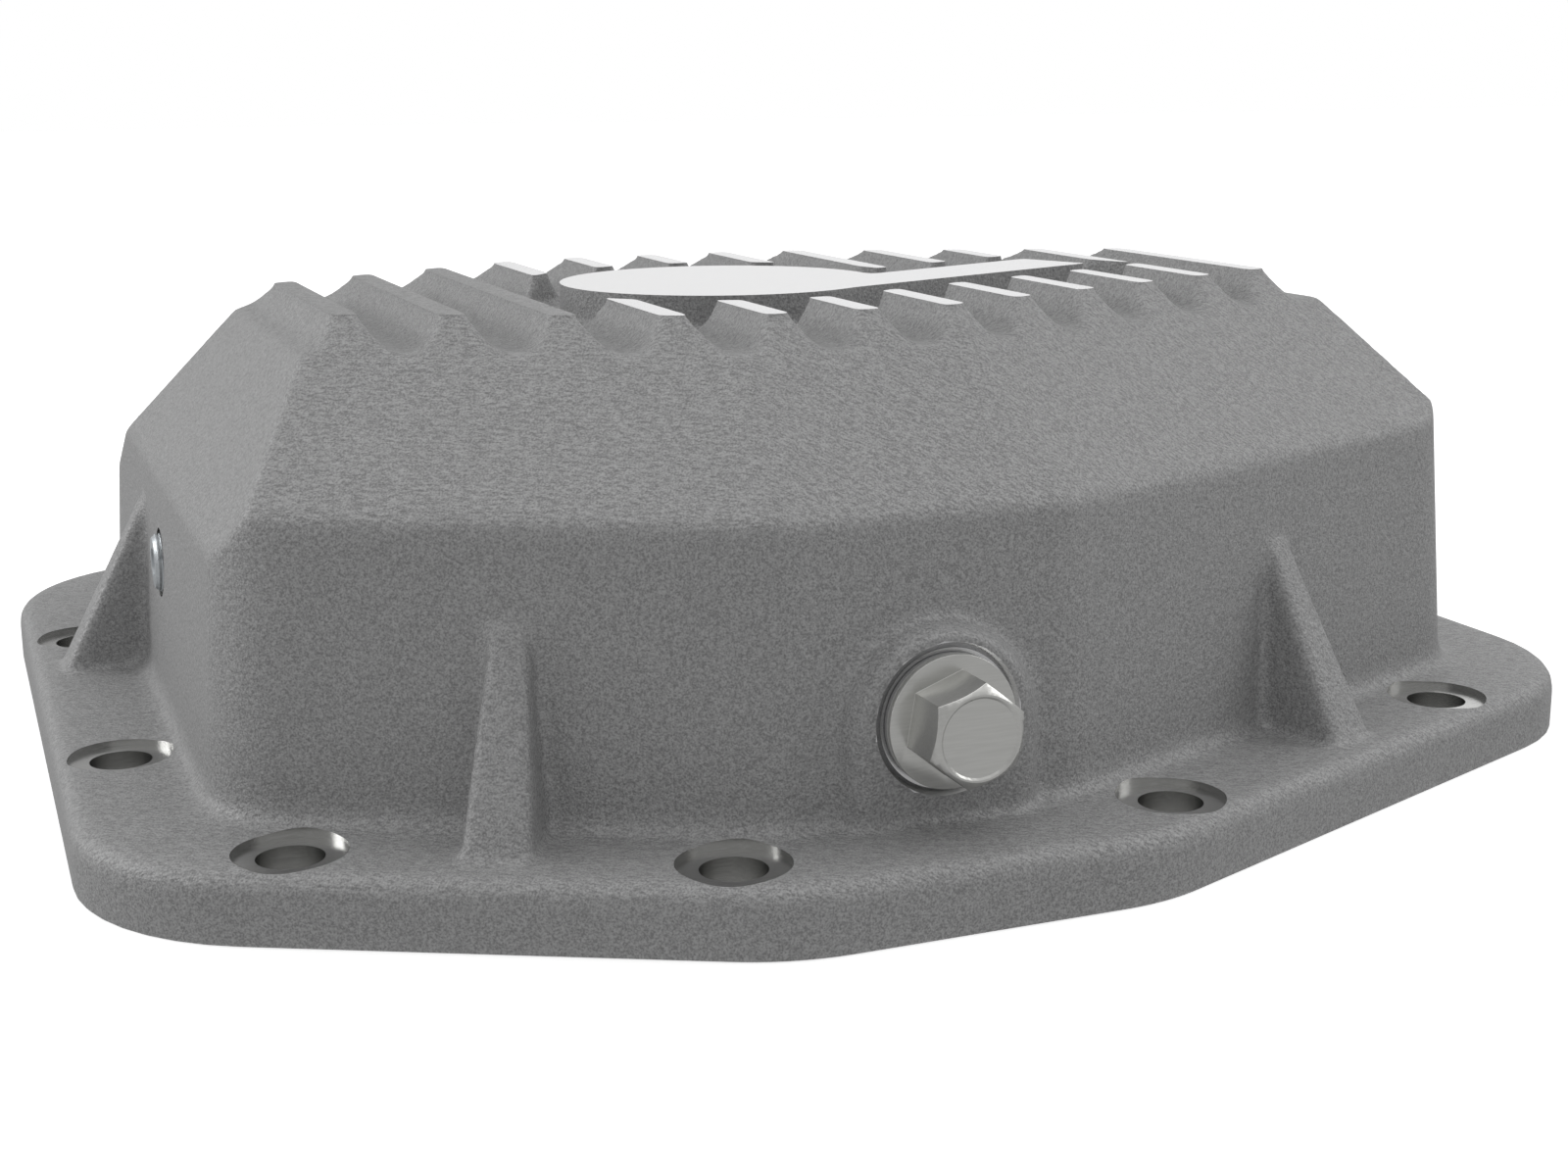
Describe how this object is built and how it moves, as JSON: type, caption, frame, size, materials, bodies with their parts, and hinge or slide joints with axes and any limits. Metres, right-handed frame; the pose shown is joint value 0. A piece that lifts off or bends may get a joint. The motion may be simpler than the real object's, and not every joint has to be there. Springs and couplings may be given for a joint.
{
  "type": "differential cover",
  "caption": "Cast aluminium differential cover: faceted dome with parallel cooling fins, flat bolted flange, hexagon flange drain plug and threaded side plug.",
  "frame": {"origin": "centre of the flange outline, in the mating face", "axes": "+Z out of the mating face towards the fins, +Y from the drain plug to the opposite end, X across the two straight sides"},
  "size_m": [0.3506, 0.367, 0.1073],
  "materials": {
    "casting": "satin",
    "plug": "satin",
    "washer": "matte",
    "side_plug": "satin"
  },
  "bodies": {
    "root": {"cover_casting": "casting", "drain_plug": "plug", "drain_washer": "washer", "side_plug": "side_plug"}
  },
  "joints": []
}
